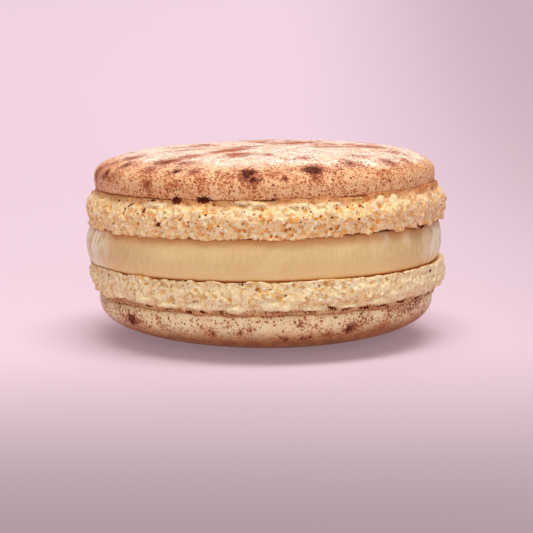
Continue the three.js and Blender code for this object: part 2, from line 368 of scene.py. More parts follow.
def knob_field(x, y, h, shell):
    """The foot with its ruffles, knobs and flakes, and how strongly each place is roughened."""
    high, seed = shell["foot_height"], shell["seed"]
    radius = np.hypot(x, y)
    facing, section_radius, section_height = band_section(shell)
    toward = np.arctan2(h - high / 2, radius - BAND_RADIUS)
    base_radius = np.interp(toward, facing, section_radius)
    base_height = np.interp(toward, facing, section_height)
    reach = np.hypot(radius - BAND_RADIUS, h - high / 2)
    base_reach = np.hypot(base_radius - BAND_RADIUS, base_height - high / 2)
    base = (x * base_radius / radius, y * base_radius / radius, base_height)
    ruffle = value_noise(*base, RUFFLE_SIZE, seed)
    knob = nearest_point(*base, KNOB_SIZE, seed + 5)[0]
    flake = nearest_point(*base, FLAKE_SIZE, seed + 9)[0]
    beside = smooth_step(FLAKE_FROM, FLAKE_FULL, base_height / high)
    out = RUFFLE_DEPTH * (ruffle - 0.5) + KNOB_DEPTH * (KNOB_REACH - knob)
    out += FLAKE_DEPTH * beside * np.maximum(0, FLAKE_REACH - flake)
    rim = smooth_step(HANG_FROM, HANG_FULL, base_radius) * smooth_step(RIM_TO, 0, base_height / high)
    out += RIM_DEPTH * rim * np.maximum(0, value_noise(*base, RIM_SIZE, seed + 12) - RIM_BARE)
    rough = smooth_step(CRAG_START, CRAG_FULL, base_radius)
    rough = rough * (1 - (1 - shell["neck_rough"]) * smooth_step(NECK_FROM, NECK_FULL, base_height / high))
    return reach - base_reach - rough * out, rough


def turned_from(bearing, angle):
    """The turn from an angle in degrees to a bearing in radians, between half a turn back and forth."""
    return (bearing - math.radians(angle) + math.pi) % math.tau - math.pi


def scrap_field(x, y, h, scraps):
    """The scraps of crumb, each a flattened ball."""
    radius = np.hypot(x, y)
    bearing = np.arctan2(y, x)
    field = np.full(x.shape, FAR)
    for angle, height, middle, wide, tall, deep in scraps:
        turn = turned_from(bearing, angle)
        away = (turn * middle / wide) ** 2 + ((h - height) / tall) ** 2 + ((radius - middle) / deep) ** 2
        field = np.minimum(field, (np.sqrt(away) - 1) * tall)
    return field


def blended(a, b, width):
    """The union of two fields, with a fillet between them."""
    share = np.clip(0.5 + 0.5 * (b - a) / width, 0, 1)
    return b + (a - b) * share - width * share * (1 - share)


def crumb_field(x, y, h, shell, scraps):
    """The whole foot: crumbs on its knobs, scraps beside them and open pores between them."""
    seed = shell["seed"]
    wander = np.where(h > 0, 1 + EDGE_DEPTH * (value_noise(x, y, 0 * h, EDGE_SIZE, seed + 30) - 0.5), 1)
    knobs, rough = knob_field(x, y, h * wander, shell)
    bent = []
    for n, v in enumerate((x, y, h)):
        bent.append(v + swells(x, y, h, [(WARP_SIZE, WARP_DEPTH)], seed + 80 + n))
    crumb, tall = nearest_point(*bent, CRUMB_SIZE, seed + 40)
    grain = value_noise(x, y, h, GRAIN_SIZE, seed + 50)
    crumbs = CRUMB_DEPTH * (CRUMB_LEAST + tall) * (CRUMB_REACH - crumb)
    raised = rough * (crumbs + shell["grain"] * (grain - 0.5))
    gap, kept = nearest_point(*bent, PORE_SIZE, seed + 60)
    small, large = PORE_RADIUS
    pore = np.where(kept < PORE_SHARE, small + (large - small) * kept / PORE_SHARE, -1)
    field = np.maximum(knobs - raised, np.where(rough > PORE_ROUGH, pore - gap * PORE_SIZE, -FAR))
    field = blended(field, scrap_field(x, y, h, scraps) - SCRAP_ROUGH * raised, SCRAP_FILLET)
    hang = HANG * smooth_step(HANG_FROM, HANG_FULL, np.hypot(x, y))
    return np.maximum(field, -h - hang)


# From the field to a closed surface
def neighbours(axis):
    return (axis + 1) % 3, (axis + 2) % 3


def reached(mask, start):
    """The part of mask that can be walked to from start."""
    found = start & mask
    while True:
        grown = found.copy()
        for axis in range(3):
            grown |= np.roll(found, 1, axis) | np.roll(found, -1, axis)
        grown &= mask
        if (grown == found).all():
            return found
        found = grown


def settled(field):
    """The field without loose crumbs and shut bubbles, and filled where its surface would touch itself."""
    sliver = 1e-3
    inside = field < 0
    edge = np.zeros(field.shape, bool)
    edge[:, 0, 0] = True
    core = np.zeros(field.shape, bool)
    core[:, 2, field.shape[2] // 2] = True
    field = np.where(inside & ~reached(inside, core), sliver, field)
    field = np.where(~inside & ~reached(~inside, edge), -sliver, field)
    touching = True
    while touching:
        touching = False
        for axis in range(3):
            b, c = neighbours(axis)
            inside = field < 0
            along = np.roll(inside, -1, b)
            across = np.roll(inside, -1, c)
            both = np.roll(along, -1, c)
            meets = (inside == both) & (along == across) & (inside != along)
            fill = (meets & ~inside) | np.roll(meets & inside, 1, b)
            touching |= bool(fill.any())
            field = np.where(fill, -sliver, field)
    return field


def surface_of(field):
    """One vertex in each cell that the surface crosses, and one quad round each crossed edge of the grid.
    Returns the vertices in grid units and the quads."""
    inside = field < 0
    offset = np.zeros(field.shape + (3,))
    count = np.zeros(field.shape)
    crossings = []
    for axis in range(3):
        b, c = neighbours(axis)
        ahead = np.roll(field, -1, axis)
        crossed = inside != (ahead < 0)
        share = np.where(crossed, field / np.where(crossed, field - ahead, 1), 0)
        crossings.append(crossed)
        for back_b in (0, 1):
            for back_c in (0, 1):
                here = np.roll(crossed, (-back_b, -back_c), (b, c))
                offset[..., axis] += np.roll(share, (-back_b, -back_c), (b, c))
                offset[..., b] += back_b * here
                offset[..., c] += back_c * here
                count += here
    active = count > 0
    number = np.full(field.shape, -1, np.int64)
    number[active] = np.arange(active.sum())
    places = np.stack(np.nonzero(active), 1) + offset[active] / count[active][:, None]
    quads = []
    for axis, crossed in enumerate(crossings):
        b, c = neighbours(axis)
        round_edge = [np.roll(number, back, (b, c))[crossed] for back in ((0, 0), (1, 0), (1, 1), (0, 1))]
        four = np.stack(round_edge, 1)
        turned = ~inside[crossed]
        four[turned] = four[turned][:, ::-1]
        quads.append(four)
    return places, np.concatenate(quads)


def foot_mesh(shell, scraps):
    """The ring of open crumb, in the shell's own frame."""
    turns = round(math.tau * shell["foot_radius"] / CELL)
    angles = np.arange(turns) * math.tau / turns
    radii = np.arange(GRID_INNER, GRID_OUTER, CELL)
    levels = np.arange(-GRID_UNDER, shell["foot_height"] + GRID_OVER, CELL)
    angle, radius, level = np.meshgrid(angles, radii, levels, indexing="ij")
    field = crumb_field(radius * np.cos(angle), radius * np.sin(angle), level, shell, scraps)
    for side in (0, -1):
        field[:, side, :] = CELL
        field[:, :, side] = CELL
    places, quads = surface_of(settled(field))
    angle = places[:, 0] * math.tau / turns
    radius = GRID_INNER + CELL * places[:, 1]
    level = CELL * places[:, 2] - GRID_UNDER
    return np.stack([radius * np.cos(angle), radius * np.sin(angle), level], 1), quads.tolist()


# The smooth cap, and the core that it stands on inside the foot
def cap_section(shell):
    """Points of [radius, height]: the dome from its middle down to the lip, and the way under it to
    the foot's face."""
    wide, lip, equator = shell["cap_radius"], shell["lip_height"], shell["equator_height"]
    power = shell["dome_power"]
    last = math.acos((shell["flat_radius"] / wide) ** (power / 2))
    angle = np.linspace(last, 0, DOME_POINTS)
    full = math.sin(last) ** (2 / power)
    radius = wide * np.cos(angle).clip(0) ** (2 / power)
    height = equator + shell["dome_height"] * np.sin(angle) ** (2 / power) / full
    dome = [(0, height[0])] * (shell["flat_radius"] > 0) + list(zip(radius, height))
    dome += [(wide - inset, lip + rise) for inset, rise in LIP_SECTION]
    under = [
        (wide - LIP_INSET, lip),
        (shell["neck_radius"] - CORE_INSET, lip + CORE_TUCK),
        (CORE_RADIUS, lip - CORE_DROP),
        (CORE_RADIUS, CORE_FACE),
    ]
    return np.array(dome), under


def walked(points, count):
    """The line through points, as count steps of equal length."""
    steps = np.hypot(*np.diff(points, axis=0).T)
    length = np.concatenate([[0], np.cumsum(steps)])
    at = np.linspace(0, length[-1], count + 1)
    return np.stack([np.interp(at, length, points[:, n]) for n in (0, 1)], 1), length[-1]


def cap_mesh(shell):
    """A dome of rings with six more vertices each, closed below."""
    dome, under = cap_section(shell)
    rings, _ = walked(dome, DOME_RINGS)
    places = [(0, 0, rings[0][1])]
    faces = []
    starts = [0]
    for ring in range(1, DOME_RINGS + 1):
        starts.append(len(places))
        radius, height = rings[ring]
        for n in range(6 * ring):
            angle = math.tau * n / (6 * ring)
            places.append((radius * math.cos(angle), radius * math.sin(angle), height))
    for ring in range(DOME_RINGS):
        inner, outer = starts[ring], starts[ring + 1]
        size, wider = max(1, 6 * ring), 6 * (ring + 1)
        for part in range(6):
            for n in range(ring + 1):
                low = outer + part * (ring + 1) + n
                high = outer + (part * (ring + 1) + n + 1) % wider
                near = inner + (part * ring + n) % size
                faces.append((near, low, high))
                if n < ring:
                    faces.append((near, high, inner + (part * ring + n + 1) % size))
    wide = 6 * DOME_RINGS
    last = starts[-1]
    for radius, height in under:
        start = len(places)
        for n in range(wide):
            angle = math.tau * n / wide
            places.append((radius * math.cos(angle), radius * math.sin(angle), height))
        for n in range(wide):
            beside = (n + 1) % wide
            faces.append((last + n, start + n, start + beside, last + beside))
        last = start
    faces.append(tuple(last + n for n in reversed(range(wide))))
    return uneven(np.array(places), shell) + [shell["cap_shift"], 0, 0], faces


def uneven(places, shell):
    """The gentle swells of a baked skin."""
    x, y, h = places.T
    seed = shell["seed"] + 70
    swell = swells(x, y, h, SKIN_SWELLS, seed)
    above = smooth_step(shell["lip_height"] - 0.3, shell["lip_height"] + 0.5, h)
    level = smooth_step(shell["equator_height"], shell["equator_height"] + shell["dome_height"], h)
    if shell["flat_radius"]:
        above = above * (1 - level**4)
    radius = np.maximum(np.hypot(x, y), 1e-6)
    side = above * swell * np.sqrt(1 - level)
    wave = LIP_WAVE_DEPTH * (value_noise(x, y, h * 0, LIP_WAVE_SIZE, seed + 3) - 0.5)
    wave *= smooth_step(0.5, 0, np.abs(h - shell["lip_height"] - 0.15))
    wider = 1 + side / radius
    return np.stack([x * wider, y * wider, h + above * swell * np.sqrt(level) + wave], 1)


# Making the pieces
def new_object(name, places, faces):
    mesh = bpy.data.meshes.new(name)
    mesh.from_pydata(places, [], faces)
    mesh.validate()
    made = bpy.data.objects.new(name, mesh)
    bpy.context.collection.objects.link(made)
    return made


def vertex_places(mesh):
    places = np.empty(3 * len(mesh.vertices))
    mesh.vertices.foreach_get("co", places)
    return places.reshape(-1, 3)


def leaning(places):
    """The stack rises to the right, and its base stays level."""
    share = np.clip((places[:, 2] - LEAN_FROM) / (LEAN_TO - LEAN_FROM), 0, 1)
    places[:, 2] += LEAN * share * places[:, 0]
    return places


def set_attribute(mesh, name, values):
    mesh.attributes.new(name, "FLOAT", "POINT").data.foreach_set("value", values.astype(np.float32))


def spread(across, along, half_across, half_along):
    """1 in the middle of a spot, fading to 0 past its edge."""
    return np.exp(-SPOT_FALL * ((across / half_across) ** 2 + (along / half_along) ** 2))


def over_dome(x, y, h, shell):
    """Distance from the middle of the dome over its surface."""
    dome, _ = cap_section(shell)
    line, length = walked(dome, DOME_STEPS)
    middle = shell["lip_height"]
    turn = np.arctan2(line[:, 0], line[:, 1] - middle)
    return np.interp(np.arctan2(np.hypot(x, y), h - middle), turn, np.linspace(0, length, DOME_STEPS + 1))


def spot_cover(x, y, h, shell, spots):
    """How thickly cocoa lies at each place of a cap."""
    x = x - shell["cap_shift"]
    warp = [(SPOT_WARP_SIZE, SPOT_WARP_DEPTH)]
    x, y = (v + swells(x, y, h, warp, 60 + n) for n, v in enumerate((x, y)))
    radius, bearing = np.hypot(x, y), np.arctan2(y, x)
    distance = over_dome(x, y, h, shell)
    cover = np.zeros(x.shape)
    for angle, along, half_across, half_along, strength in spots:
        across = turned_from(bearing, angle) * radius
        cover = np.maximum(cover, strength * spread(across, distance - along, half_across, half_along))
    return cover


def stray_spots(shell):
    """Spots scattered over the far side of a cap."""
    rng = np.random.default_rng(shell["seed"])
    spots = []
    for _ in range(STRAY_SPOTS):
        angle = rng.uniform(5, 175)
        along = DOME_REACH * math.sqrt(rng.uniform(0.02, 1))
        half = rng.uniform(0.5, 1.5)
        spots.append((angle, along, half, half * rng.uniform(0.7, 1.3), rng.uniform(0.35, 0.95)))
    return spots


def fleck_cover(x, y, h, flecks):
    """How thickly cocoa lies at each place of a foot."""
    radius, bearing = np.hypot(x, y), np.arctan2(y, x)
    cover = np.zeros(x.shape)
    for angle, height, half_long, half_broad, tilt, strength in flecks:
        across, up = turned_from(bearing, angle) * radius, h - height
        turn = math.radians(tilt)
        along = across * math.cos(turn) + up * math.sin(turn)
        aside = up * math.cos(turn) - across * math.sin(turn)
        cover = np.maximum(cover, strength * spread(along, aside, half_long, half_broad))
    return cover


# One flat layout for a shell's finish, in millimetres: the cap as a disc, the foot as three strips
# beside it, each from a corner and upright or lying, and what is hidden as a small disc
SHEET = 68.0
DISC_MIDDLE = 27
HIDDEN_MIDDLE = 60
HIDDEN_SCALE = 0.15
STRIPS = [(54.5, 1.0, True), (61.5, 1.0, True), (1.0, 55.0, False)]
STRIP_SCALE = 2.3  # millimetres to a radian round the band
STRIP_MIDDLE = 3.0
STRIP_TURN = 1.3  # the strip shows the band this far to each side of its widest ring, in radians


def lay_flat(mesh, shell, foot_faces):
    """The way that the finish of a shell is laid out on its sheet."""
    places = vertex_places(mesh)
    x, y, h = places.T
    corner = np.empty(len(mesh.loops), np.int64)
    mesh.loops.foreach_get("vertex_index", corner)
    totals = np.empty(len(mesh.polygons), np.int64)
    mesh.polygons.foreach_get("loop_total", totals)
    centres = np.empty(3 * len(mesh.polygons))
    mesh.polygons.foreach_get("center", centres)
    centres = np.repeat(centres.reshape(-1, 3), totals, axis=0)
    on_foot = np.repeat(foot_faces, totals)
    x, y, h = x[corner], y[corner], h[corner]
    radius, bearing = np.hypot(x, y), np.arctan2(y, x)

    distance = over_dome(x - shell["cap_shift"], y, h, shell)
    layout = DISC_MIDDLE + np.stack([distance * np.cos(bearing), distance * np.sin(bearing)], 1)
    hidden = ~on_foot & (centres[:, 2] < shell["foot_height"] / 2)
    layout[hidden] = (HIDDEN_MIDDLE + HIDDEN_SCALE * np.stack([x, y], 1))[hidden]

    whole = math.tau / len(STRIPS)
    centre_turn = (np.arctan2(centres[:, 1], centres[:, 0]) + math.tau) % math.tau
    part = np.minimum((centre_turn / whole).astype(int), len(STRIPS) - 1)
    toward = np.arctan2(h - shell["foot_height"] / 2, radius - BAND_RADIUS)
    for n, (left, low, upright) in enumerate(STRIPS):
        mine = on_foot & (part == n)
        turn = (bearing - whole * (n + 0.5) + math.pi) % math.tau - math.pi
        along = 1 + shell["foot_radius"] * (turn + whole / 2)
        over = STRIP_MIDDLE + STRIP_SCALE * np.clip(toward, -STRIP_TURN, STRIP_TURN)
        strip = [left + over, low + along] if upright else [left + along, low + STRIP_MIDDLE + over]
        strip = np.stack(strip, 1)
        layout[mine] = strip[mine]
    uv = mesh.uv_layers.new(name="OFBake")
    uv.uv.foreach_set("vector", (layout / SHEET).ravel().astype(np.float32))


def make_shell(shell, spots, flecks, scraps, cap_material, crumb_material):
    """A cap and its foot, joined in the shell's own frame, then turned and put in their place."""
    cap = new_object(shell["node"] + "_visual", *cap_mesh(shell))
    foot = new_object(shell["node"] + "_foot", *foot_mesh(shell, scraps))
    for piece, slot in ((cap, 0), (foot, 1)):
        piece.data.materials.append(cap_material)
        piece.data.materials.append(crumb_material)
        piece.data.polygons.foreach_set("material_index", [slot] * len(piece.data.polygons))
    join = cap.modifiers.new("join", "BOOLEAN")
    join.operation = "UNION"
    join.solver = "MANIFOLD"
    join.object = foot
    joined = bpy.data.meshes.new_from_object(cap.evaluated_get(bpy.context.evaluated_depsgraph_get()))
    cap.modifiers.clear()
    bpy.data.objects.remove(foot)
    cap.data = joined

    slots = np.empty(len(joined.polygons), np.int64)
    joined.polygons.foreach_get("material_index", slots)
    lay_flat(joined, shell, slots == 1)
    places = vertex_places(joined)
    x, y, h = places.T
    knobs, _ = knob_field(x, y, h, shell)
    set_attribute(joined, "depth", -knobs)
    set_attribute(joined, "cocoa", spot_cover(x, y, h, shell, spots + stray_spots(shell)))
    set_attribute(joined, "fleck", fleck_cover(x, y, h, flecks))
    set_attribute(joined, "share", h / shell["foot_height"])
    set_attribute(joined, "scrap", smooth_step(SCRAP_FADE, 0.0, scrap_field(x, y, h, scraps)))
    # Where the foot meets the filling: the place of a painted shade of the groove there
    beside_face = smooth_step(*GROOVE_SHADE_HEIGHT, np.abs(h))
    set_attribute(joined, "groove_shading", beside_face * smooth_step(*GROOVE_SHADE_RADIUS, np.hypot(x, y)))
    placed = leaning(np.stack([x, y, shell["face"] + shell["direction"] * h], 1)) * MM
    joined.vertices.foreach_set("co", placed.ravel())
    if shell["direction"] < 0:
        joined.flip_normals()
    joined.shade_smooth()
    joined.update()
    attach(cap, "root")
    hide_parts(shell["node"])


def make_filling(material):
    """A disc of buttercream, whose side bulges between the shells and shows where the knife smoothed it."""
    bottom = LOWER["face"] + LAYER_GAP
    top = UPPER["face"] - LAYER_GAP
    middle, half = (top + bottom) / 2, (top - bottom) / 2
    tilt = np.linspace(-math.pi / 2, math.pi / 2, CREAM_RINGS + 1)
    angle = np.arange(CREAM_STEPS) * math.tau / CREAM_STEPS
    turn, rise = np.meshgrid(angle, tilt)
    radius = CREAM_RADIUS - CREAM_BULGE * (1 - np.cos(rise))
    height = middle + half * np.sin(rise)
    x, y = radius * np.cos(turn), radius * np.sin(turn)
    swell = swells(x, y, height, CREAM_SWELLS, 91)
    swell += swells(x, y, height * KNIFE_STRETCH, [(KNIFE_SIZE, KNIFE_DEPTH)], 93)
    radius = radius + swell * np.cos(rise)
    places = np.stack([CREAM_SHIFT + radius * np.cos(turn), radius * np.sin(turn), height], -1).reshape(-1, 3)
    faces = []
    for ring in range(CREAM_RINGS):
        for n in range(CREAM_STEPS):
            beside = (n + 1) % CREAM_STEPS
            low = ring * CREAM_STEPS
            faces.append((low + n, low + beside, low + CREAM_STEPS + beside, low + CREAM_STEPS + n))
    faces.append(tuple(reversed(range(CREAM_STEPS))))
    faces.append(tuple(CREAM_RINGS * CREAM_STEPS + n for n in range(CREAM_STEPS)))
    level = places[:, 2].copy()
    cream = new_object("filling_visual", leaning(places) * MM, faces)
    set_attribute(cream.data, "level", level)
    cream.data.materials.append(material)
    cream.data.shade_smooth()
    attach(cream, "root")
    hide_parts("filling")


# Finishes. Sizes and places in them are in millimetres.
def colour(red, green, blue):
    """An sRGB colour from 0 to 255, as the linear values that a shader takes."""
    parts = [v / 255 for v in (red, green, blue)]
    return tuple(v / 12.92 if v <= 0.04045 else ((v + 0.055) / 1.055) ** 2.4 for v in parts) + (1.0,)


# Colours of cocoa, from a thin veil to a thick clot, and a blot painted paler as under a sheen
COCOA_VEIL = colour(214, 124, 64)
COCOA_DUST = colour(172, 80, 38)
COCOA_FINE_DOT = colour(164, 74, 36)
COCOA_DOT = colour(108, 44, 24)
COCOA_HALO = colour(164, 92, 56)
COCOA_BLOT = (colour(74, 34, 28), colour(118, 66, 50))
COCOA_BLOT_UNDER_SHEEN = colour(186, 106, 68)
COCOA_CLOT = (colour(58, 24, 20), colour(100, 48, 34))
COCOA_SPECK = colour(142, 50, 20)
COCOA_FLECK = colour(104, 38, 24)

# Two sizes of dots on the caps: size of their cells, radius in cells, scarcity and colour
CAP_DOTS = [(0.34, 0.42, 0.89, COCOA_FINE_DOT), (0.52, 0.3, 1.07, COCOA_DOT)]

# Baked almond, with painted highlight and shade
LIP_DARK_LINE = colour(130, 54, 24)
CRUMB_TIP_HIGHLIGHT = colour(255, 243, 206)
SCRAP_TONES = (colour(255, 222, 158), colour(255, 244, 206))
CAP_CREASE_SHADE = colour(182, 100, 50)
GROOVE_SHADE_COLOUR = colour(222, 132, 56)

# Buttercream, with painted shade and sheen
CREAM_TONES = (colour(240, 210, 150), colour(232, 200, 138))
CREAM_SIDE_SHADE = colour(216, 180, 126)
CREAM_STREAK = colour(250, 226, 170)
CREAM_TOP_SHADE = colour(212, 138, 72)
CREAM_LOW = colour(252, 220, 158)
CREAM_LOW_SHADE = colour(218, 128, 50)
CREAM_SMEAR_AND_SHEEN = colour(255, 250, 224)

# The sweep, with painted shade near the front and to the right, and the light from all round
FLOOR_NEAR_SHADE = colour(145, 130, 136)
FLOOR_UNDER = colour(206, 184, 194)
BACKDROP = colour(214, 191, 202)
BACKDROP_RIGHT_SHADE = colour(160, 142, 150)
SURROUND = colour(255, 240, 246)


class Nodes:
    """A material in the making: each method adds one node and gives its output."""

    def __init__(self, name):
        self.material = bpy.data.materials.new(name)
        self.material.use_nodes = True
        self.tree = self.material.node_tree
        self.shader = self.tree.nodes["Principled BSDF"]
        coordinates = self.tree.nodes.new("ShaderNodeTexCoord").outputs["Object"]
        inputs = {0: coordinates, "Scale": 1 / MM}
        self.place = self.add("ShaderNodeVectorMath", inputs, operation="SCALE").outputs[0]

    def add(self, kind, inputs, **settings):
        made = self.tree.nodes.new(kind)
        for key, value in settings.items():
            setattr(made, key, value)
        for key, value in inputs.items():
            self.put(made.inputs[key], value)
        return made

    def put(self, socket, value):
        if isinstance(value, bpy.types.NodeSocket):
            self.tree.links.new(value, socket)
        else:
            socket.default_value = value

    def set(self, **values):
        """Sets the shader's own sockets."""
        for key, value in values.items():
            self.put(self.shader.inputs[key.replace("_", " ")], value)

    def attribute(self, name):
        return self.add("ShaderNodeAttribute", {}, attribute_name=name).outputs["Fac"]

    def coordinate(self, axis):
        return self.add("ShaderNodeSeparateXYZ", {0: self.place}).outputs[axis]

    def stretched(self, x, y, z):
        inputs = {0: self.place, 1: (x, y, z)}
        return self.add("ShaderNodeVectorMath", inputs, operation="MULTIPLY").outputs[0]

    def noise(self, size, detail=2.0, roughness=0.5, place=None):
        inputs = {"Vector": place or self.place, "Scale": 1 / size, "Detail": detail, "Roughness": roughness}
        return self.add("ShaderNodeTexNoise", inputs).outputs["Fac"]

    def cells(self, size):
        made = self.add("ShaderNodeTexVoronoi", {"Vector": self.place, "Scale": 1 / size})
        return made.outputs["Distance"], made.outputs["Color"]

    def math(self, operation, a, b=0.0, c=0.0):
        return self.add("ShaderNodeMath", {0: a, 1: b, 2: c}, operation=operation).outputs[0]

    def ramp(self, value, low, high, bottom=0.0, top=1.0):
        """Runs smoothly from bottom to top while value goes from low to high."""
        inputs = {"Value": value, "From Min": low, "From Max": high, "To Min": bottom, "To Max": top}
        return self.add("ShaderNodeMapRange", inputs, interpolation_type="SMOOTHSTEP").outputs["Result"]

    def mix(self, share, a, b):
        return self.add("ShaderNodeMix", {0: share, 6: a, 7: b}, data_type="RGBA").outputs[2]

    def bump(self, height, distance, strength=1.0):
        inputs = {"Height": height, "Distance": distance * MM, "Strength": strength}
        return self.add("ShaderNodeBump", inputs).outputs["Normal"]

    def glow_within(self, weight, red, green, blue):
        """Light that enters and leaves again: how much, and how far it goes in each colour."""
        reach = (red * MM, green * MM, blue * MM)
        self.set(Subsurface_Weight=weight, Subsurface_Radius=reach, Subsurface_Scale=1.0)


def cap_finish(name, light, dark, crown_light, crown_dark, crown_range, hazing):
    """Baked skin, freckled with cocoa that has gathered into blots."""
    n = Nodes(name)
    share = n.attribute("share")
    cocoa = n.attribute("cocoa")
    grain = n.noise(0.17, 2.0, 0.6)
    coarse = n.noise(0.5, 2.0, 0.6)
    drift = n.noise(1.7, 3.0, 0.6)
    side = n.mix(n.ramp(n.noise(3.5), 0.35, 0.65), light, dark)
    # The crown's own tones: on the upper cap, paler skin with a painted highlight; on the lower cap, whose
    # crown is its underside, painted shade
    crown = n.mix(n.ramp(n.noise(1.3, 3.0, 0.65), 0.42, 0.6), crown_dark, crown_light)
    # The crown reaches lower towards the right: painted light from that side
    crown_share_lit_right = n.math("ADD", share, n.ramp(n.coordinate("X"), 3, 17, 0, 0.17))
    base = n.mix(n.ramp(crown_share_lit_right, *crown_range), side, crown)

    # A veil of cocoa, and the dots in it
    dust = n.math("ADD", n.math("MULTIPLY", drift, 0.6), n.math("MULTIPLY", cocoa, 0.8))
    haze = n.math("MULTIPLY_ADD", dust, 0.5, n.math("MULTIPLY_ADD", coarse, 0.35, grain))
    # The veil thins a little on the crown; on the upper cap this is part of its painted highlight
    haze = n.math("SUBTRACT", haze, n.ramp(crown_share_lit_right, *crown_range, 0, 0.04))
    base = n.mix(n.ramp(haze, 0.81, 0.89, 0, hazing), base, COCOA_VEIL)
    base = n.mix(n.ramp(haze, 0.92, 0.99, 0, hazing), base, COCOA_DUST)
    for size, radius, scarce, shade in CAP_DOTS:
        distance, chance = n.cells(size)
        ragged = n.math("MULTIPLY_ADD", grain, 0.4, distance)
        thick = n.ramp(n.math("ADD", chance, dust), scarce, scarce + 0.08)
        dots = n.math("MULTIPLY", n.ramp(ragged, radius + 0.24, radius + 0.14), thick)
        base = n.mix(n.math("MULTIPLY", dots, 0.9), base, shade)

    # Blots with ragged edges, painted paler high on the dome as a sheen
    ragged = n.math("ADD", n.math("MULTIPLY", grain, 0.9), n.math("MULTIPLY", coarse, 1.1))
    blot = n.math("ADD", n.math("SUBTRACT", ragged, 1.0), cocoa)
    base = n.mix(n.ramp(blot, 0.2, 0.45, 0, 0.65), base, COCOA_HALO)
    core = n.ramp(blot, 0.45, 0.7)
    streaked = n.mix(n.ramp(n.noise(0.4, 2.0), 0.4, 0.62), *COCOA_BLOT)
    base = n.mix(core, base, n.mix(n.ramp(share, 1.92, 2.08), streaked, COCOA_BLOT_UNDER_SHEEN))

    # Clots that hang over from the foot, and a broken dark line along the lower edge of the lip
    fleck = n.math("MULTIPLY_ADD", n.math("SUBTRACT", grain, 0.5), 1.4, n.attribute("fleck"))
    clot = n.ramp(fleck, 0.35, 0.6)
    base = n.mix(clot, base, n.mix(n.ramp(coarse, 0.45, 0.6), *COCOA_CLOT))
    rim = n.math("MULTIPLY", n.ramp(share, 1.085, 1.06), n.ramp(n.noise(0.6, 2.0), 0.4, 0.55))
    base = n.mix(n.math("MULTIPLY", rim, 0.85), base, LIP_DARK_LINE)

    relief = n.math("MULTIPLY_ADD", n.noise(0.9), 1.5, grain)
    gloss = n.ramp(n.math("MAXIMUM", core, clot), 0, 1, 0.2, 0)
    n.set(Base_Color=base, Roughness=0.5, Specular_IOR_Level=gloss, Normal=n.bump(relief, 0.06, 0.8))
    return n.material


def crumb_finish(name, pale, tan, neck, aside, toast, toasting, dusting, specks_from):
    """Open crumb: pale with a painted highlight where it stands out, tan as painted shade in its pores and
    between its grains, toasted where it meets the cap.
    """
    n = Nodes(name)
    depth = n.attribute("depth")
    share = n.attribute("share")
    grain = n.noise(0.24, 2.0, 0.6)
    patch = n.noise(1.9, 2.0)
    deep = n.math("MULTIPLY_ADD", n.math("SUBTRACT", grain, 0.5), 0.6, depth)
    # A painted highlight on the crumbs that stand out
    raised = n.math("MULTIPLY", n.ramp(grain, 0.46, 0.56, 0, 0.95), n.ramp(depth, 0.1, -0.08))
    base = n.mix(raised, pale, CRUMB_TIP_HIGHLIGHT)

    # Pores, painted as well as open: tan in them as painted shade
    holes = n.noise(0.65, 3.0, 0.6, n.stretched(1, 1, 1.4))
    holes = n.math("MULTIPLY_ADD", n.math("SUBTRACT", patch, 0.5), 0.3, holes)
    pits = n.math("MAXIMUM", n.ramp(holes, 0.55, 0.62), n.ramp(deep, 0.1, 0.3))
    base = n.mix(n.math("MULTIPLY", pits, 0.85), base, tan)
    # Tan between the grains: painted shade
    base = n.mix(n.ramp(grain, 0.45, 0.36, 0, 0.55), base, tan)

    # Beside the cap, at the right, on the scraps, and painted shade at both seams
    turned = n.math("MULTIPLY_ADD", n.math("SUBTRACT", patch, 0.5), 0.3, share)
    base = n.mix(n.ramp(turned, 0.84, 0.96, 0, 0.85), base, neck)
    # Another tone towards the right end, painted shading there: darker on the upper foot, paler on the lower
    base = n.mix(n.ramp(n.coordinate("X"), 12, 22, 0, 0.45), base, aside)
    toasted = n.math("MULTIPLY", n.ramp(share, 0.84, 0.97), n.ramp(n.noise(1.1, 2.0), 0.42, 0.55))
    base = n.mix(n.math("MULTIPLY", toasted, toasting), base, toast)
    scrap = n.mix(n.ramp(grain, 0.4, 0.6), *SCRAP_TONES)
    base = n.mix(n.math("MULTIPLY", n.attribute("scrap"), 0.85), base, scrap)
    # Dark orange just under the cap's lip: painted shade of the crease there
    base = n.mix(n.ramp(share, 1.01, 1.05, 0, 0.5), base, CAP_CREASE_SHADE)
    # Dark orange where the foot meets the filling: painted shade of the groove
    base = n.mix(n.math("MULTIPLY", n.attribute("groove_shading"), 0.8), base, GROOVE_SHADE_COLOUR)

    # Cocoa: a veil beside the cap, specks and flecks
    beside_cap = n.ramp(turned, 0.82, 0.94)
    haze = n.ramp(n.math("MULTIPLY_ADD", patch, 0.5, grain), 0.72, 0.84)
    haze = n.math("MULTIPLY", n.math("MULTIPLY", haze, beside_cap), dusting)
    base = n.mix(haze, base, COCOA_HALO)
    distance, chance = n.cells(0.6)
    likely = n.math("MULTIPLY_ADD", beside_cap, 0.3, chance)
    near = n.ramp(n.math("MULTIPLY_ADD", grain, 0.2, distance), 0.32, 0.24)
    speck = n.math("MULTIPLY", near, n.ramp(likely, specks_from, specks_from + 0.02))
    base = n.mix(speck, base, COCOA_SPECK)
    fleck = n.math("MULTIPLY_ADD", n.math("SUBTRACT", grain, 0.5), 1.2, n.attribute("fleck"))
    clot = n.ramp(fleck, 0.42, 0.62)
    base = n.mix(clot, base, COCOA_FLECK)

    relief = n.math("MULTIPLY_ADD", pits, -0.6, grain)
    gloss = n.ramp(n.math("MAXIMUM", clot, speck), 0, 1, 0.25, 0)
    n.set(Base_Color=base, Roughness=0.6, Specular_IOR_Level=gloss, Normal=n.bump(relief, 0.1, 1.0))
    n.glow_within(0.12, 0.3, 0.24, 0.16)
    return n.material


